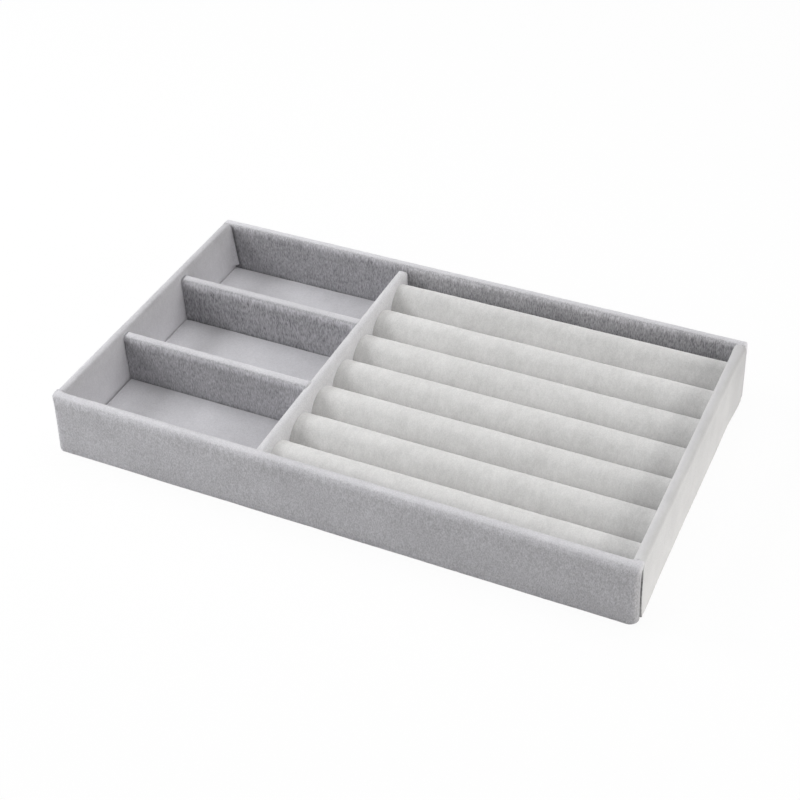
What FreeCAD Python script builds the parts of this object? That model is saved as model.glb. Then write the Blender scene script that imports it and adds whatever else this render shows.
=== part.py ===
import FreeCAD, Part
import math
import os

from FreeCAD import Vector

# Overall size of the tray: X along its length, Y from front to back, Z up.
# The origin is on the surface that it stands on, under the middle of the tray.
tray_length = 300.0
tray_depth = 173.0
tray_height = 36.0

# Cloth, boards and cards
velvet_thickness = 0.75
wall_board_thickness = 3.75
divider_board_thickness = 4.0
partition_board_thickness = 4.5
base_board_thickness = 4.0
base_felt_thickness = 0.3
floor_card_thickness = 2.2
backing_card_thickness = 2.6

# Inside layout: clear width of the compartments on the left, clear depth of the front
# and middle ones, and how far the divider and the partitions stop below the rim
compartment_width = 104.4
front_compartment_depth = 50.8
middle_compartment_depth = 50.8
divider_drop = 2.6
partition_drop = 2.6

# Rounding of the wrapped boards
rim_radius = 2.4
foot_radius = 0.6
panel_top_corner_radius = 1.2
panel_foot_corner_radius = 3.0
panel_end_radius = 3.2
panel_joint_radius = 2.0
side_end_radius = 1.2
divider_corner_radius = 3.0
partition_corner_radius = 2.0
full_round_share = 0.48

# The side walls stand a little inside the ends of the front and back panels
side_step = 0.2

# The cloth is turned under each board, and its two edges stop this share of the board apart
turn_gap_share = 0.3

# Felt under the tray, and the loose fit of the compartment floors
felt_inset = 2.0
floor_clearance = 0.3
floor_edge_radius = 0.6

# Ring rolls: foam bolsters wrapped in velvet, side by side on a backing card
roll_count = 7
insert_clearance = 0.4
roll_gap = 0.15
roll_end_radius = 1.6
roll_end_steps = 2
core_end_steps = 1
roll_end_opening_radius = 6.0
roll_flat_depth = 1.2
glue_line = 0.05

cut_overrun = 1.0

# Sizes that follow from the ones above
wall_thickness = wall_board_thickness + 2 * velvet_thickness
divider_thickness = divider_board_thickness + 2 * velvet_thickness
partition_thickness = partition_board_thickness + 2 * velvet_thickness
base_top = base_felt_thickness + base_board_thickness
wall_height = tray_height - base_felt_thickness

left_inside = -tray_length / 2 + side_step + wall_thickness
right_inside = -left_inside
front_inside = -tray_depth / 2 + wall_thickness
back_inside = -front_inside
inside_depth = back_inside - front_inside

divider_left = left_inside + compartment_width
divider_right = divider_left + divider_thickness
divider_height = tray_height - divider_drop - base_top
partition_height = tray_height - partition_drop - base_top
front_partition_front = front_inside + front_compartment_depth
front_partition_back = front_partition_front + partition_thickness
rear_partition_front = front_partition_back + middle_compartment_depth
rear_partition_back = rear_partition_front + partition_thickness
rear_compartment_depth = back_inside - rear_partition_back

insert_left = divider_right + insert_clearance
insert_length = right_inside - insert_clearance - insert_left
insert_front = front_inside + insert_clearance
insert_depth = inside_depth - 2 * insert_clearance
roll_pitch = insert_depth / roll_count
roll_radius = (roll_pitch - roll_gap) / 2
roll_axis_height = base_top + backing_card_thickness + roll_radius - roll_flat_depth


def plan_view(u, v):
    return Vector(u, v, 0)


def front_view(u, v):
    return Vector(u, 0, v)


def side_view(u, v):
    return Vector(0, u, v)


# A rectangle from zero to the given width and height, with a radius at each corner,
# counted from the low corner round by the right
def rounded_face(width, height, radii, view):
    corners = [view(0, 0), view(width, 0), view(width, height), view(0, height)]
    edges = []
    ends = []
    for index, (corner, radius) in enumerate(zip(corners, radii)):
        to_before = (corners[index - 1] - corner).normalize()
        to_after = (corners[(index + 1) % len(corners)] - corner).normalize()
        start = corner + to_before * radius
        finish = corner + to_after * radius
        ends.append((start, finish))
        if radius > 0:
            centre = start + to_after * radius
            middle = centre + (corner - centre).normalize() * radius
            edges.append(Part.Arc(start, middle, finish).toShape())
    for index in range(len(ends)):
        start = ends[index - 1][1]
        finish = ends[index][0]
        edges.append(Part.LineSegment(start, finish).toShape())
    return Part.Face(Part.Wire(Part.sortEdges(edges)[0]))


# A block that runs along X, rounded at its rim and foot, at the corners of its front,
# and at the upright edges of its ends, which differ on the front and the back
def rounded_block(length, thickness, height, rim, foot, top_corner, foot_corner, front_end, back_end):
    section = rounded_face(thickness, height, (foot, foot, rim, rim), side_view)
    block = section.extrude(Vector(length, 0, 0))
    front_radii = (foot_corner, foot_corner, top_corner, top_corner)
    if max(front_radii) > 0:
        front = rounded_face(length, height, front_radii, front_view)
        block = block.common(front.extrude(Vector(0, thickness, 0)))
    plan_radii = (front_end, front_end, back_end, back_end)
    if max(plan_radii) > 0:
        plan = rounded_face(length, thickness, plan_radii, plan_view)
        block = block.common(plan.extrude(Vector(0, 0, height)))
    return block


# A radius inside the cloth, where the board has its own edge
def under_cloth(radius):
    return max(radius - velvet_thickness, 0)


# A board in its velvet: the cloth goes over every edge and is turned in under the foot,
# where a gap shows between its two edges
def wrapped_board(
    length, board_thickness, height, rim, foot, top_corner, foot_corner, front_end, back_end
):
    thickness = board_thickness + 2 * velvet_thickness
    outside = rounded_block(
        length, thickness, height, rim, foot, top_corner, foot_corner, front_end, back_end
    )
    board = rounded_block(
        length - 2 * velvet_thickness,
        board_thickness,
        height - 2 * velvet_thickness,
        under_cloth(rim),
        under_cloth(foot),
        under_cloth(top_corner),
        under_cloth(foot_corner),
        under_cloth(front_end),
        under_cloth(back_end),
    )
    board.translate(Vector(velvet_thickness, velvet_thickness, velvet_thickness))
    gap_width = board_thickness * turn_gap_share
    gap_start = max(foot_corner, velvet_thickness)
    gap = Part.makeBox(
        length - 2 * gap_start,
        gap_width,
        velvet_thickness + cut_overrun,
        Vector(gap_start, (thickness - gap_width) / 2, -cut_overrun),
    )
    return board, outside.cut(board).cut(gap)


# A piece modelled along X is turned to run along Y, with its width to the right of x
def turned(shape, width):
    shape = shape.copy()
    shape.rotate(Vector(0, 0, 0), Vector(0, 0, 1), 90)
    shape.translate(Vector(width, 0, 0))
    return shape


# A piece is turned half round the middle of the tray, to stand on the opposite side
def faced_about(shape):
    shape = shape.copy()
    shape.rotate(Vector(0, 0, 0), Vector(0, 0, 1), 180)
    return shape


def placed(shape, x, y, z):
    shape = shape.copy()
    shape.translate(Vector(x, y, z))
    return shape


parts = {}


def build_base():
    felt_length = tray_length - 2 * felt_inset
    felt_depth = tray_depth - 2 * felt_inset
    felt = rounded_face(felt_length, felt_depth, [panel_foot_corner_radius] * 4, plan_view)
    felt = felt.extrude(Vector(0, 0, base_felt_thickness))
    parts["base_felt"] = placed(felt, -felt_length / 2, -felt_depth / 2, 0)
    board = Part.makeBox(right_inside - left_inside, inside_depth, base_board_thickness)
    parts["base_board"] = placed(board, left_inside, front_inside, base_felt_thickness)


# The front and back panels run the full length, and the side walls stand between them
def build_walls():
    board, cover = wrapped_board(
        tray_length,
        wall_board_thickness,
        wall_height,
        rim_radius,
        foot_radius,
        panel_top_corner_radius,
        panel_foot_corner_radius,
        panel_end_radius,
        panel_joint_radius,
    )
    for name, shape in (("wall_board", board), ("wall_cover", cover)):
        panel = placed(shape, -tray_length / 2, -tray_depth / 2, base_felt_thickness)
        parts["front_" + name] = panel
        parts["back_" + name] = faced_about(panel)
    board, cover = wrapped_board(
        inside_depth,
        wall_board_thickness,
        wall_height,
        rim_radius,
        foot_radius,
        0,
        0,
        side_end_radius,
        0,
    )
    for name, shape in (("wall_board", board), ("wall_cover", cover)):
        side = turned(shape, wall_thickness)
        side = placed(side, right_inside, front_inside, base_felt_thickness)
        parts["right_" + name] = side
        parts["left_" + name] = faced_about(side)


# One divider from front to back, and two partitions from the left wall to the divider
def build_dividers():
    board, cover = wrapped_board(
        inside_depth,
        divider_board_thickness,
        divider_height,
        divider_thickness * full_round_share,
        0,
        divider_corner_radius,
        0,
        0,
        0,
    )
    for name, shape in (("divider_board", board), ("divider_cover", cover)):
        parts[name] = placed(turned(shape, divider_thickness), divider_left, front_inside, base_top)
    board, cover = wrapped_board(
        compartment_width,
        partition_board_thickness,
        partition_height,
        partition_thickness * full_round_share,
        0,
        partition_corner_radius,
        0,
        0,
        0,
    )
    for name, y in (("front", front_partition_front), ("rear", rear_partition_front)):
        parts[name + "_partition_board"] = placed(board, left_inside, y, base_top)
        parts[name + "_partition_cover"] = placed(cover, left_inside, y, base_top)


# A card floor with velvet over its face and edges, loose in a compartment of this depth
def covered_floor(compartment_depth):
    length = compartment_width - 2 * floor_clearance
    depth = compartment_depth - 2 * floor_clearance
    card = Part.makeBox(
        length - 2 * velvet_thickness,
        depth - 2 * velvet_thickness,
        floor_card_thickness,
        Vector(velvet_thickness, velvet_thickness, 0),
    )
    pad_height = floor_card_thickness + velvet_thickness
    edge = floor_edge_radius
    pad = rounded_block(length, depth, pad_height, edge, 0, edge, 0, edge, edge)
    return card, pad.cut(card)


def build_floors():
    compartments = (
        ("front", front_inside, front_compartment_depth),
        ("middle", front_partition_back, middle_compartment_depth),
        ("rear", rear_partition_back, rear_compartment_depth),
    )
    x = left_inside + floor_clearance
    for name, front, depth in compartments:
        card, velvet = covered_floor(depth)
        y = front + floor_clearance
        parts[name + "_floor_card"] = placed(card, x, y, base_top)
        parts[name + "_floor_velvet"] = placed(velvet, x, y, base_top)


# A roll is flat underneath, where it is glued to the card
def flattened(roll):
    under = Part.makeBox(
        insert_length + 2 * cut_overrun,
        2 * roll_radius,
        roll_radius,
        Vector(-cut_overrun, -roll_radius, roll_flat_depth - 2 * roll_radius),
    )
    return roll.cut(under)


# Points along the rounded left end of a roll, this far inside the face of its velvet
def roll_end_points(inset, steps):
    radius = roll_end_radius - inset
    points = []
    for step in range(steps + 1):
        angle = math.pi / 2 * step / steps
        along = inset + radius * (1 - math.cos(angle))
        up = roll_radius - inset - radius * (1 - math.sin(angle))
        points.append(Vector(along, 0, up))
    return points


# The line over a roll, from its left end to the same point on its right end
def over_the_roll(left_points):
    right_points = [Vector(insert_length - point.x, 0, point.z) for point in reversed(left_points)]
    return left_points + right_points


def spun_about_roll_axis(outline):
    face = Part.Face(Part.makePolygon(outline + outline[:1]))
    return face.revolve(Vector(0, 0, 0), Vector(1, 0, 0), 360)


# The foam core is a rod with its end edges cut back
def roll_foam():
    inset = velvet_thickness + glue_line
    left_end = [Vector(inset, 0, 0)] + roll_end_points(inset, core_end_steps)
    return flattened(spun_about_roll_axis(over_the_roll(left_end)))


# The velvet goes round the core and is turned in over both ends, round an opening,
# and its long edges stop at the card on both sides of the glued flat
def roll_velvet():
    outer_hem = Vector(0, 0, roll_end_opening_radius)
    inner_hem = Vector(velvet_thickness, 0, roll_end_opening_radius)
    outer = over_the_roll([outer_hem] + roll_end_points(0, roll_end_steps))
    inner = over_the_roll([inner_hem] + roll_end_points(velvet_thickness, core_end_steps))
    inner.reverse()
    return flattened(spun_about_roll_axis(outer + inner))


def build_rolls():
    foam = roll_foam()
    velvet = roll_velvet()
    for index in range(roll_count):
        y = insert_front + (roll_count - index - 0.5) * roll_pitch
        name = "ring_roll_" + str(index + 1)
        parts[name + "_foam"] = placed(foam, insert_left, y, roll_axis_height)
        parts[name + "_velvet"] = placed(velvet, insert_left, y, roll_axis_height)


def build_backing_card():
    card = Part.makeBox(insert_length, insert_depth, backing_card_thickness)
    parts["roll_backing_card"] = placed(card, insert_left, insert_front, base_top)


build_base()
build_walls()
build_dividers()
build_floors()
build_backing_card()
build_rolls()

os.makedirs("parts", exist_ok=True)
for name, shape in parts.items():
    shape.exportStep("parts/" + name + ".step")
    print(name, "solids", len(shape.Solids), "valid", shape.isValid(), "volume", round(shape.Volume, 1))
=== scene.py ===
import math

import bmesh
import bpy
from mathutils import Matrix, Vector


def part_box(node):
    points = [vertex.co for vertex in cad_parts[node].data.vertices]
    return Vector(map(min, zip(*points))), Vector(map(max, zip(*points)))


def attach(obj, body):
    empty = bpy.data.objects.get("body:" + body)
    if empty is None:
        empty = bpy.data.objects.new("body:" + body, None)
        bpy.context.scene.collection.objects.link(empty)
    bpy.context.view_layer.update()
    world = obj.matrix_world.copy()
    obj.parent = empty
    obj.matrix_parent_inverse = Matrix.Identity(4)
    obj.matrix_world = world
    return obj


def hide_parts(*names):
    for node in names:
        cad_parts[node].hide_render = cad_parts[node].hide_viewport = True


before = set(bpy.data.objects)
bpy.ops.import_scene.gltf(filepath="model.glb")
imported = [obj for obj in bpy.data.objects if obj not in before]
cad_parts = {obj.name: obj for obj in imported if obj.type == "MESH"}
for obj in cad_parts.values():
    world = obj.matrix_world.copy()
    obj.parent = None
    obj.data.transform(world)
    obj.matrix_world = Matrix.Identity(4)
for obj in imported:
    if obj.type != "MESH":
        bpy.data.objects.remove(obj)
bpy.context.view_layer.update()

mm = 0.001
nearly = 0.01 * mm  # places closer than this are the same
straight = 0.99  # share of a length or a normal that counts as all of it
print("frame loaded with", len(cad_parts), "pieces")


def boxOf(node):
    return tuple(Vector(corner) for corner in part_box(node))


# where the tray's main faces are, read from the frame
frontLow, frontHigh = boxOf("front_wall_cover")
backLow, backHigh = boxOf("back_wall_cover")
leftLow, leftHigh = boxOf("left_wall_cover")
rightLow, rightHigh = boxOf("right_wall_cover")
rimTop = frontHigh.z
frontInside = frontHigh.y
backInside = backLow.y
leftInside = leftHigh.x
rightInside = rightLow.x
floorTop = boxOf("middle_floor_velvet")[1].z
dividerLeft = boxOf("divider_cover")[0].x


# the y of a node's middle
def middleOf(node):
    low, high = boxOf(node)
    return (low.y + high.y) / 2


# one cloth for the whole tray: pile and backing, and how finely it is meshed
cloth = {
    "thickness": 0.4 * mm,
    "spacing": 1.1 * mm,
    "shortest": 10 * mm,  # a piece isn't divided where it is shorter than this
    "pileSize": 1.6 * mm,
    "pileDepth": 0.16 * mm,
    "swellSize": 26 * mm,
    "swellDepth": 0.22 * mm,
    "cloudDepth": 2,
}


# modelling helpers

def deselectAll():
    bpy.ops.object.select_all(action="DESELECT")


def choose(piece):
    deselectAll()
    piece.select_set(True)
    bpy.context.view_layer.objects.active = piece


def openForEdit(piece):
    choose(piece)
    bpy.ops.object.mode_set(mode="EDIT")


def closeEdit():
    bpy.ops.object.mode_set(mode="OBJECT")


def pickEdges(piece, isWanted):
    bpy.ops.mesh.select_mode(type="EDGE")
    bpy.ops.mesh.select_all(action="DESELECT")
    mesh = bmesh.from_edit_mesh(piece.data)
    for edge in mesh.edges:
        first, second = (corner.co for corner in edge.verts)
        edge.select_set(isWanted(first, second))
    mesh.select_flush_mode()
    bmesh.update_edit_mesh(piece.data)


def pickFaces(piece, isWanted):
    bpy.ops.mesh.select_mode(type="FACE")
    bpy.ops.mesh.select_all(action="DESELECT")
    mesh = bmesh.from_edit_mesh(piece.data)
    mesh.normal_update()
    for face in mesh.faces:
        face.select_set(isWanted(face.calc_center_median(), face.normal))
    mesh.select_flush_mode()
    bmesh.update_edit_mesh(piece.data)


# edges along one axis (0, 1 or 2), at the given x, y or z
def edgesAlong(axis, **places):
    def isWanted(first, second):
        run = second - first
        if abs(run[axis]) < straight * run.length:
            return False
        return all(
            abs(first["xyz".index(letter)] - place) < nearly for letter, place in places.items()
        )

    return isWanted


def longEdges(axis, longEnough):
    def isWanted(first, second):
        run = second - first
        return abs(run[axis]) > straight * run.length and run.length > longEnough

    return isWanted


def applyModifier(piece, kind, **settings):
    choose(piece)
    modifier = piece.modifiers.new(kind.lower(), kind)
    for name, value in settings.items():
        setattr(modifier, name, value)
    bpy.ops.object.modifier_apply(modifier=modifier.name)


# the object just added, under its own name
def nameNew(name):
    piece = bpy.context.object
    piece.name = name
    piece.data.name = name
    return piece


def startBlock(name, low, high):
    deselectAll()
    bpy.ops.mesh.primitive_cube_add(size=1, location=(low + high) / 2)
    piece = nameNew(name)
    piece.scale = high - low
    bpy.ops.object.transform_apply(location=True, rotation=True, scale=True)
    return piece


# rounding is a list of (radius, which edges)
def roundEdges(piece, rounding, steps):
    widest = max(radius for radius, isWanted in rounding)
    openForEdit(piece)
    for radius, isWanted in rounding:
        pickEdges(piece, isWanted)
        bpy.ops.transform.edge_bevelweight(value=radius / widest)
    closeEdit()
    applyModifier(
        piece, "BEVEL", width=widest, segments=steps, limit_method="WEIGHT", use_clamp_overlap=False
    )


# the cloth is turned under the foot, and a gap is left between its two edges
def openFoot(piece, hem):
    openForEdit(piece)
    lowest = min(corner.co.z for corner in bmesh.from_edit_mesh(piece.data).verts)
    pickFaces(piece, lambda centre, normal: normal.z < -straight and centre.z < lowest + nearly)
    bpy.ops.mesh.inset(thickness=hem, depth=0)
    bpy.ops.mesh.delete(type="FACE")
    closeEdit()


# long edges are cut in two rounds, because one call makes a hundred cuts at most
def divideEvenly(piece, spacing):
    openForEdit(piece)
    size = piece.dimensions
    for axis in range(3):
        if size[axis] < cloth["shortest"]:
            continue
        firstParts = max(1, round(math.sqrt(size[axis] / spacing) / 2))
        secondParts = max(1, round(size[axis] / spacing / firstParts))
        longEnough = size[axis] / 2
        for parts in (firstParts, secondParts):
            if parts > 1:
                pickEdges(piece, longEdges(axis, longEnough))
                bpy.ops.mesh.subdivide(number_cuts=parts - 1)
            longEnough = longEnough / parts * 0.9  # a little short, to be sure of every edge
    closeEdit()


def cutAt(piece, point, normal, **settings):
    openForEdit(piece)
    bpy.ops.mesh.select_all(action="SELECT")
    bpy.ops.mesh.bisect(plane_co=point, plane_no=normal, **settings)
    closeEdit()


# moves every corner of the mesh by a rule in the tray's own coordinates
def shapeBy(piece, rule):
    for corner in piece.data.vertices:
        corner.co = rule(corner.co.copy())
    piece.data.update()


def easeBetween(low, high, value):
    share = min(1, max(0, (value - low) / (high - low)))
    return share * share * (3 - 2 * share)


# pile and slack of the cloth, always inwards from the face, then its thickness
def finishCloth(piece, swellDepth=cloth["swellDepth"]):
    for name, size, depth in (
        ("swell", cloth["swellSize"], swellDepth),
        ("pile", cloth["pileSize"], cloth["pileDepth"]),
    ):
        texture = bpy.data.textures.new(piece.name + "." + name, "CLOUDS")
        texture.noise_scale = size
        texture.noise_depth = cloth["cloudDepth"]
        applyModifier(
            piece,
            "DISPLACE",
            texture=texture,
            texture_coords="LOCAL",
            strength=depth,
            mid_level=1,
        )
        bpy.data.textures.remove(texture)
    applyModifier(piece, "SOLIDIFY", thickness=cloth["thickness"], offset=-1)
    choose(piece)
    bpy.ops.object.shade_smooth()


# shader maths: a socket with the usual operators

class Wire:
    def __init__(self, tree, socket):
        self.tree = tree
        self.socket = socket

    # any node: its type, its settings, then the values or links of its sockets
    def node(self, kind, settings, inputs, output=0):
        made = self.tree.nodes.new(kind)
        for name, value in settings.items():
            setattr(made, name, value)
        for name, value in inputs.items():
            if isinstance(value, Wire):
                self.tree.links.new(value.socket, made.inputs[name])
            else:
                made.inputs[name].default_value = value
        return Wire(self.tree, made.outputs[output])

    def maths(self, operation, first, second):
        return self.node("ShaderNodeMath", {"operation": operation}, {0: first, 1: second})

    def __add__(self, other):
        return self.maths("ADD", self, other)

    def __radd__(self, other):
        return self.maths("ADD", other, self)

    def __sub__(self, other):
        return self.maths("SUBTRACT", self, other)

    def __rsub__(self, other):
        return self.maths("SUBTRACT", other, self)

    def __mul__(self, other):
        return self.maths("MULTIPLY", self, other)

    def __rmul__(self, other):
        return self.maths("MULTIPLY", other, self)

    def noise(self, size, detail=2.0, roughness=0.5, stretch=(1, 1, 1)):
        placed = self.node("ShaderNodeMapping", {}, {"Vector": self, "Scale": stretch})
        return self.node(
            "ShaderNodeTexNoise",
            {},
            {"Vector": placed, "Scale": 1 / size, "Detail": detail, "Roughness": roughness},
        )

    # without its sign
    def size(self):
        return self.maths("ABSOLUTE", self, 0.0)

    def atMost(self, limit):
        return self.maths("MINIMUM", self, limit)

    # one part of a vector
    def part(self, letter):
        return self.node("ShaderNodeSeparateXYZ", {}, {"Vector": self}, output=letter)

    # 0 up to the low value, 1 from the high one on, and eased between them
    def spread(self, low, high):
        return self.node(
            "ShaderNodeMapRange",
            {"interpolation_type": "SMOOTHSTEP"},
            {"Value": self, "From Min": low, "From Max": high},
        )

    # a colour between two, where this value is 0 and 1
    def between(self, dark, light):
        return self.node(
            "ShaderNodeMix",
            {"data_type": "RGBA"},
            {"Factor": self, 6: dark, 7: light},
            output=2,
        )


def startMaterial(name):
    material = bpy.data.materials.new(name)
    material.use_nodes = True
    tree = material.node_tree
    shader = tree.nodes["Principled BSDF"]
    coordinates = tree.nodes.new("ShaderNodeTexCoord")
    return material, shader, Wire(tree, coordinates.outputs["Object"])


def feed(shader, **wires):
    for name, wire in wires.items():
        socket = shader.inputs[name.replace("_", " ")]
        wire.tree.links.new(wire.socket, socket)


def bumpFrom(height, distance, strength):
    return height.node(
        "ShaderNodeBump",
        {},
        {"Height": height, "Distance": distance, "Strength": strength},
        output="Normal",
    )


# colour, relief, and roughness that is a little less where the tone is paler
def setSurface(shader, look, tone, colour, relief):
    feed(
        shader,
        Base_Color=colour,
        Roughness=look["rough"] - tone * look["smoother"],
        Normal=bumpFrom(relief, look["bump"], look["bumpStrength"]),
    )


def grey(level, tint=(1, 1, 1)):
    return (level * tint[0], level * tint[1], level * tint[2], 1)


velvetLook = {
    "dark": grey(0.20, (1.0, 0.99, 1.05)),
    "light": grey(0.80, (1.0, 0.99, 1.03)),
    "tone": 0.505,
    # the middle of a noise, and how far a face is turned up or aside, from none to all
    "noiseRange": (0.3, 0.7),
    "upRange": (-0.1, 0.75),
    "sideRange": (0.3, 0.9),
    # painted light and shade: change of tone for each metre to the right and to the back, and
    # painted shade at the far end
    "lean": (0.0, 0.0),
    "farShade": 0.0,
    "farRange": (50 * mm, 85 * mm),
    # painted light beside the front wall
    "nearLift": 0.0,
    "nearRange": (-78 * mm, -66 * mm),
    "grainSize": 0.55 * mm,
    "grainStretch": (1, 1, 0.5),
    "grain": 0.20,
    "frontGrain": 0.165,
    # longer locks of pile that lie together
    "napSize": 1.5 * mm,
    "napStretch": (1, 1, 0.4),
    "nap": 0.03,
    "frontNap": 0.06,
    "mottleSize": 15 * mm,
    "mottle": 0.07,
    # painted shade on upright front faces
    "frontShade": 0.0,
    "frontRange": (0.35, 0.9),
    # painted highlight on the rim, how it changes from front to back, and the one that fades below
    # it
    "topLight": 0.235,
    "topSlope": 0.0,
    "topMiddle": 0.0,
    "rimHighlight": 0.33,
    "highlightHeight": (29.8 * mm, 35.4 * mm),
    "highlightFray": 1.2 * mm,
    # painted light or shade on faces turned to the left or right, and on right-turned ones painted
    # shade that changes with height
    "sideLift": -0.15,
    "heightLean": 0.0,
    "heightMiddle": 22 * mm,
    # pile that leans away to the right on a rim
    # painted shade where a rim turns to the right, and painted light where it turns to the left
    "edgeShade": 0.0,
    # painted light and shade on round tops: paler at the back, and paler again low on the front
    "crestSlope": 0.0,
    "crestLimit": 0.45,
    "valleyLift": 0.0,
    "valleyRange": (0.55, 1.05),
    # painted shadow towards the right end
    "endShade": 0.0,
    "endRange": (rightInside - 22 * mm, rightInside - 4 * mm),
    # painted light beside the left wall
    "startLift": 0.0,
    "startRange": (leftInside + 6 * mm, leftInside + 28 * mm),
    "sheen": 0.30,
    "sheenRoughness": 0.45,
    "specular": 0.15,
    "rough": 0.95,
    "smoother": 0.1,
    "bump": 0.14 * mm,
    "bumpStrength": 0.6,
    # colour of painted shadow in joints
    "jointShadowColour": grey(0.035),
}
# boards inside the tray: their own painted tone, painted shade on their front faces, and a painted
# highlight on the rim
backVelvetLook = dict(
    velvetLook,
    tone=0.52,
    frontShade=0.21,
    frontGrain=0.30,
    frontNap=0.11,
    grainStretch=(1, 1, 0.25),
    napStretch=(1, 1, 0.28),
    topLight=0.29,
    topSlope=0.065 / mm,
    topMiddle=backInside + 3.4 * mm,
    rimHighlight=0.42,
    highlightHeight=(30.8 * mm, 35.6 * mm),
    highlightFray=1.6 * mm,
    sideLift=0.09,
    lean=(-0.25, 0.0),
)
boardVelvetLook = dict(
    backVelvetLook,
    tone=0.615,
    lean=(0.9, 0.0),
    topLight=0.14,
    topSlope=0.045 / mm,
    topMiddle=middleOf("rear_partition_cover"),
    rimHighlight=0.62,
    highlightHeight=(27.0 * mm, 32.8 * mm),
    highlightFray=1.2 * mm,
    sideLift=0.0,
)
frontBoardLook = dict(
    boardVelvetLook,
    tone=0.705,
    topLight=0.10,
    topMiddle=middleOf("front_partition_cover"),
    highlightHeight=(28.8 * mm, 34.0 * mm),
)
plainLook = dict(velvetLook, topLight=0.0, rimHighlight=0.0, sideLift=0.0)
# the divider, side walls and floors: the same grey velvet, each with a tone painted for the light
# on it
dividerVelvetLook = dict(
    plainLook, light=grey(0.90, (1.0, 0.995, 1.02)), tone=0.79, topLight=-0.12, frontShade=0.155
)
leftVelvetLook = dict(
    plainLook,
    tone=0.80,
    topLight=-0.21,
    lean=(0.0, -0.8),
    heightLean=-12.0,
    grain=0.11,
    nap=0.05,
    bump=0.08 * mm,
)
rightVelvetLook = dict(
    leftVelvetLook,
    light=grey(0.80, (1.0, 0.995, 1.0)),
    tone=0.66,
    topLight=0.0,
    lean=(0.0, -0.4),
    farShade=0.09,
    heightLean=-5.0,
    edgeShade=0.12,
    grain=0.045,
    nap=0.02,
)
floorVelvetLook = dict(
    plainLook,
    tone=0.64,
    grain=0.11,
    nap=0.05,
    endShade=0.15,
    endRange=(dividerLeft - 48 * mm, dividerLeft - 10 * mm),
    startLift=0.13,
)
# a paler, warmer velvet on the rolls, with painted light and shade on the crests, at the ends and
# beside the walls
rollLook = dict(
    plainLook,
    dark=grey(0.20, (1.0, 0.992, 0.98)),
    light=grey(0.88, (1.0, 0.993, 0.985)),
    tone=0.706,
    farShade=0.05,
    farRange=(52 * mm, 68 * mm),
    nearLift=0.10,
    grain=0.125,
    frontGrain=0.0,
    frontNap=0.0,
    crestSlope=0.25,
    valleyLift=0.075,
    endShade=0.17,
    grainStretch=(1, 0.6, 0.6),
    napSize=2.2 * mm,
    napStretch=(1, 0.45, 0.45),
    nap=0.07,
)


# short pile: fine grain that shows most on upright front faces, soft cloudy patches, painted
# light, shade and rim highlight; the last argument says where painted shadow darkens a joint
def makeVelvet(name, look, jointShadeOf=None):
    material, shader, place = startMaterial(name)
    x, y, z = (place.part(letter) for letter in "XYZ")
    normal = place.node("ShaderNodeTexCoord", {}, {}, output="Normal")
    toRight = normal.part("X")
    toFront = normal.part("Y") * -1
    up = normal.part("Z").spread(*look["upRange"])
    front = toFront.spread(*look["frontRange"])
    aside = toRight.size().spread(*look["sideRange"])
    rightward = toRight.spread(*look["sideRange"])

    def evenNoise(size, **settings):
        return place.noise(size, **settings).spread(*look["noiseRange"]) - 0.5

    grain = evenNoise(look["grainSize"], detail=3.0, roughness=0.65, stretch=look["grainStretch"])
    nap = evenNoise(look["napSize"], detail=2.0, roughness=0.6, stretch=look["napStretch"])
    mottle = evenNoise(look["mottleSize"], detail=3.0)
    tone = look["tone"] + grain * (look["grain"] + front * look["frontGrain"])
    tone = tone + nap * (look["nap"] + front * look["frontNap"])
    tone = tone + mottle * look["mottle"]
    # painted light and shade by place on the tray
    tone = tone + x * look["lean"][0] + y * look["lean"][1]
    tone = tone - y.spread(*look["farRange"]) * look["farShade"]
    tone = tone + (1 - y.spread(*look["nearRange"])) * look["nearLift"]
    tone = tone - x.spread(*look["endRange"]) * look["endShade"]
    tone = tone + (1 - x.spread(*look["startRange"])) * look["startLift"]
    # painted light and shade by the way the face is turned
    top = (y - look["topMiddle"]) * look["topSlope"] + look["topLight"]
    # glow is the painted highlight that fades below the rim
    glow = (z + nap * look["highlightFray"]).spread(*look["highlightHeight"]) * (1 - up)
    tone = tone + up * top + glow * look["rimHighlight"]
    tone = tone + aside * look["sideLift"] - front * look["frontShade"]
    tone = tone + rightward * (z - look["heightMiddle"]) * look["heightLean"]
    tone = tone - toRight * up * look["edgeShade"]
    tone = tone - toFront.atMost(look["crestLimit"]) * look["crestSlope"]
    tone = tone + toFront.spread(*look["valleyRange"]) * look["valleyLift"]
    colour = tone.between(look["dark"], look["light"])
    if jointShadeOf:
        colour = jointShadeOf(place, front).between(colour, look["jointShadowColour"])
    setSurface(shader, look, tone, colour, grain)
    shader.inputs["Sheen Weight"].default_value = look["sheen"]
    shader.inputs["Sheen Roughness"].default_value = look["sheenRoughness"]
    shader.inputs["Specular IOR Level"].default_value = look["specular"]
    return material


feltLook = {
    "dark": grey(0.20),
    "light": grey(0.31, (1.0, 1.0, 1.02)),
    "fibreSize": 0.8 * mm,
    "fibreStretch": 0.15,
    "fibreShare": 0.4,
    "patchSize": 16 * mm,
    "patchShare": 0.2,
    "toneRange": (0.35, 0.65),
    "sheen": 0.15,
    "rough": 0.97,
    "smoother": 0.07,
    "bump": 0.15 * mm,
    "bumpStrength": 0.6,
}


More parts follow.
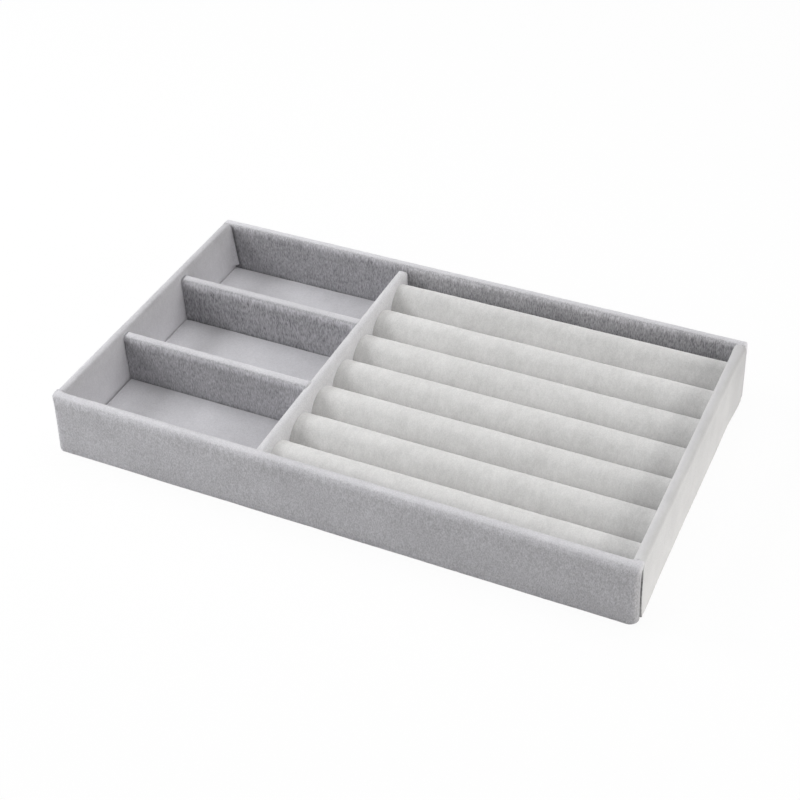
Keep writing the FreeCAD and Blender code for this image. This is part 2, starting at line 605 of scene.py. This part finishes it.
# pressed wool: short fibres lying every way
def makeFelt(name, look):
    material, shader, place = startMaterial(name)
    thin = look["fibreStretch"]
    along = place.noise(look["fibreSize"], detail=3.0, stretch=(thin, 1, 1))
    across = place.noise(look["fibreSize"], detail=3.0, stretch=(1, thin, 1))
    patches = place.noise(look["patchSize"], detail=2.0)
    tone = along * look["fibreShare"] + across * look["fibreShare"] + patches * look["patchShare"]
    tone = tone.spread(*look["toneRange"])
    setSurface(shader, look, tone, tone.between(look["dark"], look["light"]), tone)
    shader.inputs["Sheen Weight"].default_value = look["sheen"]
    return material


boardLook = {
    "dark": (0.20, 0.13, 0.075, 1),
    "light": (0.42, 0.30, 0.19, 1),
    "fibreSize": 1.4 * mm,
    "fibreStretch": (0.35, 0.35, 1),
    "fibreRange": (0.3, 0.7),
    "fleckSize": 0.7 * mm,
    "fleckRange": (0.62, 0.72),
    "fleckDepth": 0.6,
    "rough": 0.8,
    "smoother": 0.12,
    "bump": 0.08 * mm,
    "bumpStrength": 0.4,
}
cardLook = {
    "dark": (0.36, 0.34, 0.31, 1),
    "light": (0.52, 0.50, 0.46, 1),
    "fibreSize": 2.2 * mm,
    "fibreRange": (0.3, 0.7),
    "strandSize": 0.88 * mm,
    "strandStretch": (0.2, 1, 1),
    "strandRange": (0.66, 0.74),
    "strandDepth": 0.5,
    "rough": 0.85,
    "smoother": 0.1,
    "bump": 0.05 * mm,
    "bumpStrength": 0.3,
}


# fibreboard: brown fibres with dark flecks
def makeFibreboard(name, look):
    material, shader, place = startMaterial(name)
    fibre = place.noise(look["fibreSize"], detail=5.0, roughness=0.65, stretch=look["fibreStretch"])
    fleck = place.noise(look["fleckSize"], detail=1.0).spread(*look["fleckRange"])
    tone = fibre.spread(*look["fibreRange"]) * (1 - look["fleckDepth"] * fleck)
    setSurface(shader, look, tone, tone.between(look["dark"], look["light"]), tone)
    return material


# grey card: pulp clouds and a few darker fibres
def makeCard(name, look):
    material, shader, place = startMaterial(name)
    pulp = place.noise(look["fibreSize"], detail=6.0, roughness=0.7).spread(*look["fibreRange"])
    strand = place.noise(look["strandSize"], detail=1.0, stretch=look["strandStretch"])
    tone = pulp * (1 - look["strandDepth"] * strand.spread(*look["strandRange"]))
    setSurface(shader, look, tone, tone.between(look["dark"], look["light"]), tone)
    return material


foamLook = {
    "dark": (0.50, 0.49, 0.45, 1),
    "light": (0.74, 0.73, 0.68, 1),
    "tone": 0.75,
    "cellSize": 0.8 * mm,
    "cellRange": (0.15, 0.6),
    "hollowShade": 0.6,
    "cloudSize": 9.6 * mm,
    "cloudShare": 0.3,
    "rough": 0.92,
    "smoother": 0.08,
    "bump": -0.3 * mm,
    "bumpStrength": 0.6,
}


# open foam: round cells, sunk in relief, with painted shade in their hollows
def makeFoam(name, look):
    material, shader, place = startMaterial(name)
    cells = place.node(
        "ShaderNodeTexVoronoi",
        {"feature": "SMOOTH_F1"},
        {"Vector": place, "Scale": 1 / look["cellSize"]},
    )
    clouds = place.noise(look["cloudSize"], detail=2.0)
    hollow = 1 - cells.spread(*look["cellRange"])
    tone = clouds * look["cloudShare"] - hollow * look["hollowShade"] + look["tone"]
    setSurface(shader, look, tone, tone.between(look["dark"], look["light"]), hollow)
    return material


greyVelvet = makeVelvet("greyVelvet", velvetLook)
boardVelvet = makeVelvet("boardVelvet", boardVelvetLook)
frontBoardVelvet = makeVelvet("frontBoardVelvet", frontBoardLook)
dividerVelvet = makeVelvet("dividerVelvet", dividerVelvetLook)
floorVelvet = makeVelvet("floorVelvet", floorVelvetLook)
paleVelvet = makeVelvet("paleVelvet", rollLook)
feltFinish = makeFelt("underFelt", feltLook)
boardFinish = makeFibreboard("fibreboard", boardLook)
cardFinish = makeCard("greyCard", cardLook)
foamFinish = makeFoam("rollFoam", foamLook)
print("materials made")


def dress(piece, finish, body, slot, *nodes):
    piece.data.materials.clear()
    piece.data.materials.append(finish)
    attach(piece, body)
    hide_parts(*nodes)


# boards and cards keep their solids, and only get their finish
for name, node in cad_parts.items():
    if name.endswith("_card"):
        finish = cardFinish
    elif name.endswith("_board"):
        finish = boardFinish
    else:
        continue
    node.data.materials.clear()
    node.data.materials.append(finish)
print("boards and cards finished")


# walls

wall = {
    "rim": 2.4 * mm,
    "foot": 0.5 * mm,
    "topCorner": 0.9 * mm,
    "backTopCorner": 2.2 * mm,
    "leftFootCorner": 2.2 * mm,
    "rightFootCorner": 5.5 * mm,
    # a side wall's foot rises a little beside the front panel, and how far back and up that reaches
    "sideFootRise": 0.7 * mm,
    "sideFootReach": 14.0 * mm,
    "sideFootHeight": 12.0 * mm,
    "hem": 1.4 * mm,
    # the outer faces stand fuller towards the foot
    "frontFlare": 1.1 * mm,
    "flareLean": -2.5,
    "sideFlare": 1.0 * mm,
    "footFlare": 0.5 * mm,
    "footPower": 4,
    "footReach": 30.0 * mm,
    # the front panel sits a little to the left, and the back one's right end to the right
    "frontShift": -0.4 * mm,
    "backShift": 0.7 * mm,
    "backReach": 25.0 * mm,
    # a panel's end is rounded like a bolster, fullest at this share of its thickness
    "endPeak": 0.56,
    "endRound": 2.9 * mm,
    "endHold": 0.4,  # share of the round that the rim keeps
    "jointRound": 3.4 * mm,
    "endReach": 9.0 * mm,
    "endCuts": (0.01, 0.04, 0.09, 0.16, 0.25, 0.36, 0.46, 0.56, 0.65, 0.74, 0.83, 0.91, 0.97),
    "sideRound": 0.45 * mm,
    "sideCuts": (0.15, 0.4, 0.7, 1.0, 1.6),
    # painted shadow in the joint beside the front panel
    "seamEdge": (0.1 * mm, 0.4 * mm),
    "seamSide": (2.0 * mm, 3.0 * mm),
    "seamTop": (21.0 * mm, 32.0 * mm),
    "seamFoot": (-12.0 * mm, 14.0 * mm),
    # the side cloth lies over the corner at the back: how wide near the floor and at the top
    "tuckWide": 3.9 * mm,
    "tuckNarrow": 1.2 * mm,
    "tuckHeights": (0.6 * mm, 2.0 * mm, 25.0 * mm, 27.0 * mm),
    "tuckSlope": 0.8,
    "tuckUnder": (0.2 * mm, 0.45 * mm),
    "tuckHold": 0.3,  # share of the tuck that is left right in the corner
    # where the painted shadow line beside it lies, and how dark it is
    "tuckInside": (0.0 * mm, 0.5 * mm),
    "tuckEdge": (0.0 * mm, 0.7 * mm),
    "tuckTop": (32.5 * mm, 35.0 * mm),
    "tuckShade": 0.45,
    # the two rims run together above the joint
    "jointTop": (6.0 * mm, 3.0 * mm),
    "rimSteps": 5,
}
wallThickness = frontHigh.y - frontLow.y
sideOuter = rightHigh.x
panelEnd = frontHigh.x


# painted shadow in the open joint beside the end of the front panel, closed under the rim, on any
# face
def frontJointShadow(place, front):
    near = 1 - (place.part("Y") - frontInside).spread(*wall["seamEdge"])
    outside = (place.part("X").size() - rightInside).spread(*wall["seamSide"])
    height = place.part("Z")
    upright = height.spread(*wall["seamFoot"]) * (1 - height.spread(*wall["seamTop"]))
    return near * outside * upright


# painted shadow line beside the side cloth that lies over the back left corner
def tuckShadow(place, front):
    height = place.part("Z")
    fromLeft = place.part("X") - leftInside
    slope = (wall["tuckNarrow"] - wall["tuckWide"]) / wall["tuckHeights"][2]
    edge = (height - floorTop) * slope + wall["tuckWide"]
    near = 1 - (fromLeft - edge).spread(*wall["tuckEdge"])
    inside = fromLeft.spread(*wall["tuckInside"])
    below = 1 - height.spread(*wall["tuckTop"])
    return near * inside * front * below * wall["tuckShade"]


backVelvet = makeVelvet("backVelvet", backVelvetLook, tuckShadow)
leftVelvet = makeVelvet("leftVelvet", leftVelvetLook, frontJointShadow)
rightVelvet = makeVelvet("rightVelvet", rightVelvetLook, frontJointShadow)


# 1 below the rim, 0 where the rims of a panel and a side wall have run together
def belowRim(z):
    low, high = wall["jointTop"]
    return 1 - easeBetween(rimTop - low, rimTop - high, z)


# 0 at the rim, 1 at the foot
def nearFoot(z):
    return (rimTop - z) / (rimTop - frontLow.z)


# how much fuller an outer face is close to the foot
def footSwell(z):
    return wall["footFlare"] * nearFoot(z) ** wall["footPower"]


# drop of a quarter round of this radius, at this share of the way out to its edge
def roundDrop(radius, share):
    return radius * (1 - math.sqrt(max(0, 1 - share * share)))


# height of a side wall's rim at this distance from the middle of the tray
def sideRimHeight(x):
    share = min(1, max(0, (rightInside + wall["rim"] - abs(x)) / wall["rim"]))
    return rimTop - roundDrop(wall["rim"], share)


# height of a panel's top at an end rounded by this radius
def endRimHeight(x, radius):
    share = min(1, max(0, (abs(x) - panelEnd + radius) / radius))
    return rimTop - roundDrop(radius, share)


# the front or the back wall, whose ends cover the ends of the side walls
def makePanel(name, low, high):
    isFront = high.y == frontInside
    topCorner = wall["topCorner"] if isFront else wall["backTopCorner"]
    piece = startBlock(name, low, high)
    roundEdges(
        piece,
        [
            (wall["rim"], edgesAlong(0, z=high.z)),
            (wall["foot"], edgesAlong(0, z=low.z)),
            (topCorner, edgesAlong(1, z=high.z)),
            (wall["leftFootCorner"], edgesAlong(1, z=low.z, x=low.x)),
            (wall["rightFootCorner"], edgesAlong(1, z=low.z, x=high.x)),
        ],
        wall["rimSteps"],
    )
    openFoot(piece, wall["hem"])
    divideEvenly(piece, cloth["spacing"])
    for share in wall["endCuts"]:
        cutAt(piece, (0, low.y + share * wallThickness, 0), (0, 1, 0))
    middle = (low.y + high.y) / 2
    inward = 1 if isFront else -1
    endStart = panelEnd - wall["endReach"]
    peak = wall["endPeak"]
    hold = wall["endHold"]
    shift = wall["frontShift"] if isFront else wall["backShift"]

    def settle(co):
        share = (co.y - middle) * inward / (wallThickness / 2)
        # the side wall's rim runs on over the end of the panel
        if abs(co.x) > rightInside and share > 0 and co.z > rimTop - wall["rim"] - nearly:
            co.z = max(co.z, min(sideRimHeight(co.x), endRimHeight(co.x, topCorner)))
        out = abs(co.x) - endStart
        if out > 0:
            across = (share + 1) / 2
            if across < peak:
                drop = roundDrop(wall["endRound"], 1 - across / peak)
                drop *= hold + (1 - hold) * belowRim(co.z)
            else:
                drop = roundDrop(wall["jointRound"], (across - peak) / (1 - peak))
                drop *= isFront * belowRim(co.z)
            flare = wall["sideFlare"] * nearFoot(co.z) + isFront * footSwell(co.z)
            out = out * (1 + (flare - drop) / wall["endReach"])
            co.x = math.copysign(endStart + out, co.x)
        fuller = wall["frontFlare"] * (1 + wall["flareLean"] * co.x)
        co.y -= inward * fuller * nearFoot(co.z) * (1 - share) / 2
        co.x += shift * (belowRim(co.z) if isFront else easeBetween(0, endStart, co.x))
        return co

    shapeBy(piece, settle)
    finishCloth(piece)
    return piece


# the left or the right wall, between the panels
def makeSide(name, low, high):
    piece = startBlock(name, low, high)
    roundEdges(
        piece,
        [(wall["rim"], edgesAlong(1, z=high.z)), (wall["foot"], edgesAlong(1, z=low.z))],
        wall["rimSteps"],
    )
    openFoot(piece, wall["hem"])
    divideEvenly(piece, cloth["spacing"])
    for jointY, inward in ((frontInside, 1), (backInside, -1)):
        for share in wall["sideCuts"]:
            cutAt(piece, (0, jointY + inward * share * wall["sideRound"], 0), (0, 1, 0))
    step = panelEnd - sideOuter
    hold = wall["tuckHold"]

    # how far the cloth reaches along the back wall at this height
    def tuckAt(z):
        footLow, footHigh, topLow, topHigh = wall["tuckHeights"]
        up = z - floorTop
        width = wall["tuckWide"] + (wall["tuckNarrow"] - wall["tuckWide"]) * max(0, up / topLow)
        width = max(0, width) * easeBetween(footLow, footHigh, up)
        return width * (1 - easeBetween(topLow, topHigh, up))

    def settle(co):
        outside = (abs(co.x) - rightInside) / wallThickness
        fromFront = co.y - frontInside
        fromBack = backInside - co.y
        # the face swells out to the panels' ends under the rim, and rolls in beside the front one
        swell = step * (1 - belowRim(co.z))
        if co.x > 0:
            atBack = 1 - easeBetween(0, wall["backReach"], fromBack)
            swell += (step + wall["backShift"] - swell) * atBack
        swell += wall["sideFlare"] * nearFoot(co.z)
        swell += footSwell(co.z) * (1 - easeBetween(0, wall["footReach"], fromFront))
        swell *= outside
        share = max(0, 1 - fromFront / wall["sideRound"])
        drop = roundDrop(wall["sideRound"], share) * outside * belowRim(co.z)
        tuck = tuckAt(co.z) - fromBack / wall["tuckSlope"]
        tuck *= hold + (1 - hold) * easeBetween(*wall["tuckUnder"], fromBack)
        out = swell - drop - max(0, tuck) * (1 - outside)
        co.x += out * math.copysign(1, co.x)
        near = max(0, 1 - fromFront / wall["sideFootReach"])
        near *= max(0, 1 - (co.z - low.z) / wall["sideFootHeight"])
        co.z += wall["sideFootRise"] * near * near
        return co

    shapeBy(piece, settle)
    finishCloth(piece)
    return piece


# the way round a block with rounded edges
def girthOf(thickness, height, rounding):
    lost = sum((2 - math.pi / 2) * radius for radius in rounding)
    return 2 * (thickness + height) - lost


wallRounding = [wall["rim"], wall["rim"], wall["foot"], wall["foot"]]
wallGirth = girthOf(wallThickness, frontHigh.z - frontLow.z, wallRounding)
wallGap = wallThickness - 2 * wall["foot"] - 2 * wall["hem"]
for side, makeCover, finish, axis, low, high in (
    ("front", makePanel, greyVelvet, 0, frontLow, frontHigh),
    ("back", makePanel, backVelvet, 0, backLow, backHigh),
    ("left", makeSide, leftVelvet, 1, leftLow, leftHigh),
    ("right", makeSide, rightVelvet, 1, rightLow, rightHigh),
):
    piece = makeCover(side + "WallVelvet", low, high)
    dress(piece, finish, "tray", "grey_velvet", side + "_wall_cover")
    flat = (high[axis] - low[axis] + wallThickness, wallGirth - wallGap)
    side + "_wall_board"
print("walls wrapped")


# divider and partitions

divider = {
    "roundShare": 0.48,
    "press": 0.0,
    "endCorner": 3.0 * mm,
    "endEdge": 0.5 * mm,
    "foot": 0.3 * mm,
    "hem": 1.6 * mm,
    "steps": 6,
}
partition = {
    "roundShare": 0.36,
    "frontRise": 0.8 * mm,
    # its right end is pressed into the round of the divider
    "press": 1.6 * mm,
    "endCorner": 1.2 * mm,
    "endEdge": 0.35 * mm,
    "foot": 0.3 * mm,
    "hem": 1.8 * mm,
    "steps": 6,
}


# a thin wrapped board that runs along axis 0 or 1, with a round top
def makeThinBoard(name, node, axis, look, finish, rise=0):
    low, high = boxOf(node)
    high.z += rise
    high[axis] += look["press"]
    across = 1 - axis
    thickness = high[across] - low[across]
    piece = startBlock(name, low, high)
    roundEdges(
        piece,
        [
            (thickness * look["roundShare"], edgesAlong(axis, z=high.z)),
            (look["endCorner"], edgesAlong(across, z=high.z)),
            (look["endEdge"], edgesAlong(2)),
            (look["foot"], edgesAlong(axis, z=low.z)),
        ],
        look["steps"],
    )
    openFoot(piece, look["hem"])
    divideEvenly(piece, cloth["spacing"])
    finishCloth(piece)
    girth = girthOf(thickness, high.z - low.z, [thickness * look["roundShare"]] * 2)
    gap = thickness - 2 * look["foot"] - 2 * look["hem"]
    dress(piece, finish, "tray", "grey_velvet", node)
    flatLength = high[axis] - low[axis] + thickness
    girth - gap


makeThinBoard("dividerVelvet", "divider_cover", 1, divider, dividerVelvet)
makeThinBoard(
    "frontPartitionVelvet",
    "front_partition_cover",
    0,
    partition,
    frontBoardVelvet,
    rise=partition["frontRise"],
)
makeThinBoard("rearPartitionVelvet", "rear_partition_cover", 0, partition, boardVelvet)
print("divider and partitions wrapped")


# compartment floors

floorPad = {
    "edge": 0.3 * mm,
    "steps": 3,
    "hem": 0.01 * mm,
    "press": 0.15 * mm,
    # the front pad lies a little short of the left wall
    "leftGaps": {"front": 0.5 * mm, "middle": 0.0, "rear": 0.0},
}


# velvet over a card, turned down at its edges
def makeFloor(name, node, gap):
    low, high = boxOf(node)
    press = Vector((floorPad["press"], floorPad["press"], 0))
    low, high = low - press, high + press
    low.x += gap
    piece = startBlock(name, low, high)
    roundEdges(
        piece,
        [
            (floorPad["edge"], edgesAlong(0, z=high.z)),
            (floorPad["edge"], edgesAlong(1, z=high.z)),
            (floorPad["edge"], edgesAlong(2)),
        ],
        floorPad["steps"],
    )
    openFoot(piece, floorPad["hem"])
    divideEvenly(piece, cloth["spacing"])
    finishCloth(piece)
    dress(piece, floorVelvet, "tray", "grey_velvet", node)


for place, gap in floorPad["leftGaps"].items():
    makeFloor(place + "FloorVelvet", place + "_floor_velvet", gap)
print("floors covered")


# ring rolls

roll = {
    "sides": 72,
    "endRadius": 0.35 * mm,
    "endPress": 1.1 * mm,
    # the sleeve is drawn in a little towards its ends
    "drawnIn": 0.3 * mm,
    "drawnReach": 3.0 * mm,
    "drawnCuts": (0.06, 0.16, 0.32, 0.55, 0.8),
    "endSteps": 3,
    "endRings": (0.5, 0.5),
    "endMiddle": 1.0 * mm,
    "opening": 6.0 * mm,
    "wrapShare": 0.87,  # of the way round, above the glued flat
    "coreGap": 0.8 * mm,
    "coreEdge": 1.2 * mm,
    "coreSteps": 3,
    "coreRings": (0.5, 0.25),
    "coreSpacing": 3 * cloth["spacing"],
    "coreAngle": math.radians(35),
    "coreFill": 0.9,
    # how far each crest stands above or below the even height, from the back
    "crestLift": (1.9 * mm, -0.3 * mm, -0.9 * mm, -0.6 * mm, -0.5 * mm, -0.3 * mm, 0.8 * mm),
    "swellDepth": 0.35 * mm,
}
firstLow, firstHigh = boxOf("ring_roll_1_velvet")
rollPitch = firstLow.y - boxOf("ring_roll_2_velvet")[0].y
rollRadius = (firstHigh.y - firstLow.y) / 2
rollAxis = (firstLow + firstHigh) / 2
rollAxis.z = firstHigh.z - rollRadius
rollLength = firstHigh.x - firstLow.x + 2 * roll["endPress"]
rollFoot = firstLow.z


def startRod(name, radius, length):
    deselectAll()
    bpy.ops.mesh.primitive_cylinder_add(
        vertices=roll["sides"],
        radius=radius,
        depth=length,
        location=rollAxis,
        rotation=(0, math.pi / 2, 0),
    )
    piece = nameNew(name)
    bpy.ops.object.transform_apply(location=True, rotation=True, scale=True)
    return piece


def pickEndRims(piece, length):
    ends = (rollAxis.x - length / 2, rollAxis.x + length / 2)

    def isAt(end, *corners):
        return all(abs(co.x - end) < nearly for co in corners)

    pickEdges(piece, lambda first, second: any(isAt(end, first, second) for end in ends))


# insets the middle of both ends, once for each ring
def insetEnds(piece, rings):
    def isWanted(centre, normal):
        fromAxis = (centre - rollAxis).yz.length
        return abs(normal.x) > straight and fromAxis < roll["endMiddle"]

    for thickness in rings:
        pickFaces(piece, isWanted)
        bpy.ops.mesh.inset(thickness=thickness, depth=0)


# the sleeve is turned in over both ends round an opening, and open along its glued flat
def makeSleeve():
    piece = startRod("sleeve", rollRadius, rollLength)
    openForEdit(piece)
    pickEndRims(piece, rollLength)
    bpy.ops.mesh.bevel(offset=roll["endRadius"], segments=roll["endSteps"], affect="EDGES")
    turnIn = rollRadius - roll["endRadius"] - roll["opening"]
    insetEnds(piece, [turnIn * share for share in roll["endRings"]])
    bpy.ops.mesh.delete(type="FACE")
    closeEdit()
    divideEvenly(piece, cloth["spacing"])
    reach = roll["drawnReach"]
    for share in roll["drawnCuts"]:
        out = rollLength / 2 - share * reach
        for place in (rollAxis.x - out, rollAxis.x + out):
            cutAt(piece, (place, 0, 0), (1, 0, 0))

    def drawIn(co):
        fromEnd = rollLength / 2 - abs(co.x - rollAxis.x)
        drop = roundDrop(roll["drawnIn"], max(0, 1 - fromEnd / reach))
        share = 1 - drop / rollRadius
        co.y = rollAxis.y + (co.y - rollAxis.y) * share
        co.z = rollAxis.z + (co.z - rollAxis.z) * share
        return co

    shapeBy(piece, drawIn)
    cutAt(piece, (0, 0, rollFoot), (0, 0, 1), clear_inner=True)
    return piece


# the foam inside, cut flat where it is glued
def makeCore():
    length = rollLength - 2 * roll["coreGap"] - 2 * roll["endPress"]
    piece = startRod("core", rollRadius - roll["coreGap"], length)
    openForEdit(piece)
    pickEndRims(piece, length)
    bpy.ops.mesh.bevel(offset=roll["coreEdge"], segments=roll["coreSteps"], affect="EDGES")
    insetEnds(piece, [rollRadius * share for share in roll["coreRings"]])
    closeEdit()
    divideEvenly(piece, roll["coreSpacing"])
    cutAt(piece, (0, 0, rollFoot), (0, 0, 1), clear_inner=True, use_fill=True)
    choose(piece)
    bpy.ops.object.shade_smooth_by_angle(angle=roll["coreAngle"])
    return piece


# a copy that lies this far forward, with its crest raised or lowered
def copyRoll(source, name, forward, lift):
    choose(source)
    bpy.ops.object.duplicate(linked=False)
    piece = nameNew(name)

    def settle(co):
        up = max(0, (co.z - rollAxis.z) / rollRadius)
        co.y -= forward
        co.z += lift * up * up
        return co

    shapeBy(piece, settle)
    return piece


sleeve = makeSleeve()
core = makeCore()
sleeveLength = rollLength + 2 * (rollRadius - roll["opening"])
sleeveWidth = 2 * math.pi * rollRadius * roll["wrapShare"]
for index, lift in enumerate(roll["crestLift"]):
    number = str(index + 1)
    node = "ring_roll_" + number
    forward = index * rollPitch
    foam = copyRoll(core, "ringRollFoam" + number, forward, lift)
    dress(foam, foamFinish, "ring_roll_insert", "foam", node + "_foam")
    velvet = copyRoll(sleeve, "ringRollVelvet" + number, forward, lift)
    finishCloth(velvet, swellDepth=roll["swellDepth"])
    dress(velvet, paleVelvet, "ring_roll_insert", "pale_velvet", node + "_velvet")
bpy.data.objects.remove(sleeve)
bpy.data.objects.remove(core)
print("rolls wrapped")


# felt under the tray

felt = {
    "corner": 3.5 * mm,
    "cornerSteps": 6,
    "edge": 0.15 * mm,
    "edgeSteps": 2,
    "smoothAngle": math.radians(40),
}


def layFelt():
    low, high = boxOf("base_felt")
    piece = startBlock("underFelt", low, high)
    roundEdges(piece, [(felt["corner"], edgesAlong(2))], felt["cornerSteps"])
    openForEdit(piece)
    pickFaces(piece, lambda centre, normal: abs(normal.z) > straight)
    bpy.ops.mesh.bevel(offset=felt["edge"], segments=felt["edgeSteps"], affect="EDGES")
    closeEdit()
    choose(piece)
    bpy.ops.object.shade_smooth_by_angle(angle=felt["smoothAngle"])
    dress(piece, feltFinish, "tray", "felt", "base_felt")


layFelt()
print("felt laid")


# floor, world, lamps and camera

studio = {
    "floorSize": 6.0,
    "floorGlow": 0.94,
    "floorColour": (0.90, 0.90, 0.90, 1),
    "worldLevel": 0.03,
    "lamps": (
        # name, place, size, power, colour
        ("overheadBack", (0.0, 0.50, 1.05), 1.1, 5.4, (1.0, 1.0, 1.0)),
        ("overhead", (0.0, 0.0, 1.15), 1.1, 4.8, (1.0, 1.0, 1.0)),
        ("rightSide", (1.10, 0.0, 0.32), 0.7, 5.2, (1.0, 0.985, 0.95)),
        ("rightLow", (0.52, -0.07, 0.05), 0.10, 0.35, (1.0, 0.985, 0.94)),
        ("leftSide", (-0.95, -0.10, 0.72), 0.4, 5.8, (0.985, 0.99, 1.0)),
        ("leftFront", (-0.80, -0.80, 0.45), 0.7, 4.3, (1.0, 1.0, 1.0)),
    ),
}


# camera, glossy and transmission rays see plain white, and other rays see what lights the tray
def seenDirectly(tree):
    path = tree.nodes.new("ShaderNodeLightPath")
    camera = Wire(tree, path.outputs["Is Camera Ray"])
    glossy = Wire(tree, path.outputs["Is Glossy Ray"])
    through = Wire(tree, path.outputs["Is Transmission Ray"])
    return camera + glossy + through


def makeFloorMaterial():
    material = bpy.data.materials.new("paleFloor")
    material.use_nodes = True
    tree = material.node_tree
    tree.nodes.remove(tree.nodes["Principled BSDF"])
    seen = seenDirectly(tree)
    diffuse = seen.node("ShaderNodeBsdfDiffuse", {}, {"Color": studio["floorColour"]})
    glow = seen.node("ShaderNodeEmission", {}, {"Color": (1, 1, 1, 1), "Strength": 1.0})
    share = seen * studio["floorGlow"]
    mixed = seen.node("ShaderNodeMixShader", {}, {0: share, 1: diffuse, 2: glow})
    tree.links.new(mixed.socket, tree.nodes["Material Output"].inputs["Surface"])
    return material


def makeStage():
    deselectAll()
    bpy.ops.mesh.primitive_plane_add(size=studio["floorSize"], location=(0, 0, 0))
    floor = bpy.context.object
    floor.name = "studioFloor"
    floor.data.materials.append(makeFloorMaterial())
    world = bpy.data.worlds.new("studioWorld")
    bpy.context.scene.world = world
    world.use_nodes = True
    background = world.node_tree.nodes["Background"]
    seen = seenDirectly(world.node_tree)
    level = studio["worldLevel"] + seen * (1 - studio["worldLevel"])
    world.node_tree.links.new(level.socket, background.inputs["Strength"])
    background.inputs["Color"].default_value = (1, 1, 1, 1)
    for name, place, size, power, colour in studio["lamps"]:
        bpy.ops.object.light_add(type="AREA", location=place)
        lamp = bpy.context.object
        lamp.name = name
        lamp.data.shape = "SQUARE"
        lamp.data.size = size
        lamp.data.energy = power
        lamp.data.color = colour
        lamp.visible_camera = False
        lamp.rotation_euler = (-Vector(place)).to_track_quat("-Z", "Y").to_euler()


cameraView = {
    "azimuth": 26.182,
    "elevation": 39.277,
    "roll": -2.127,
    "distance": 782.193 * mm,
    "target": Vector((-10.087, 15.476, 0)) * mm,
    "focalPixels": 1509.032,
    "imagePixels": 800,
    "sensor": 36.0,
}


def makeCamera():
    azimuth = math.radians(cameraView["azimuth"])
    elevation = math.radians(cameraView["elevation"])
    turn = math.radians(cameraView["roll"])
    back = Vector(
        (
            math.sin(azimuth) * math.cos(elevation),
            -math.cos(azimuth) * math.cos(elevation),
            math.sin(elevation),
        )
    )
    right = (-back).cross(Vector((0, 0, 1))).normalized()
    up = right.cross(-back)
    localX = right * math.cos(turn) + up * math.sin(turn)
    localY = up * math.cos(turn) - right * math.sin(turn)
    bpy.ops.object.camera_add()
    camera = bpy.context.object
    camera.name = "photoCamera"
    camera.data.sensor_fit = "HORIZONTAL"
    camera.data.sensor_width = cameraView["sensor"]
    camera.data.lens = cameraView["focalPixels"] * cameraView["sensor"] / cameraView["imagePixels"]
    turned = Matrix((localX, localY, back)).transposed().to_4x4()
    place = cameraView["target"] + back * cameraView["distance"]
    camera.matrix_world = Matrix.Translation(place) @ turned
    bpy.context.scene.camera = camera


makeStage()
makeCamera()
bpy.context.scene.view_settings.view_transform = "Standard"
print("stage, lamps and camera set")
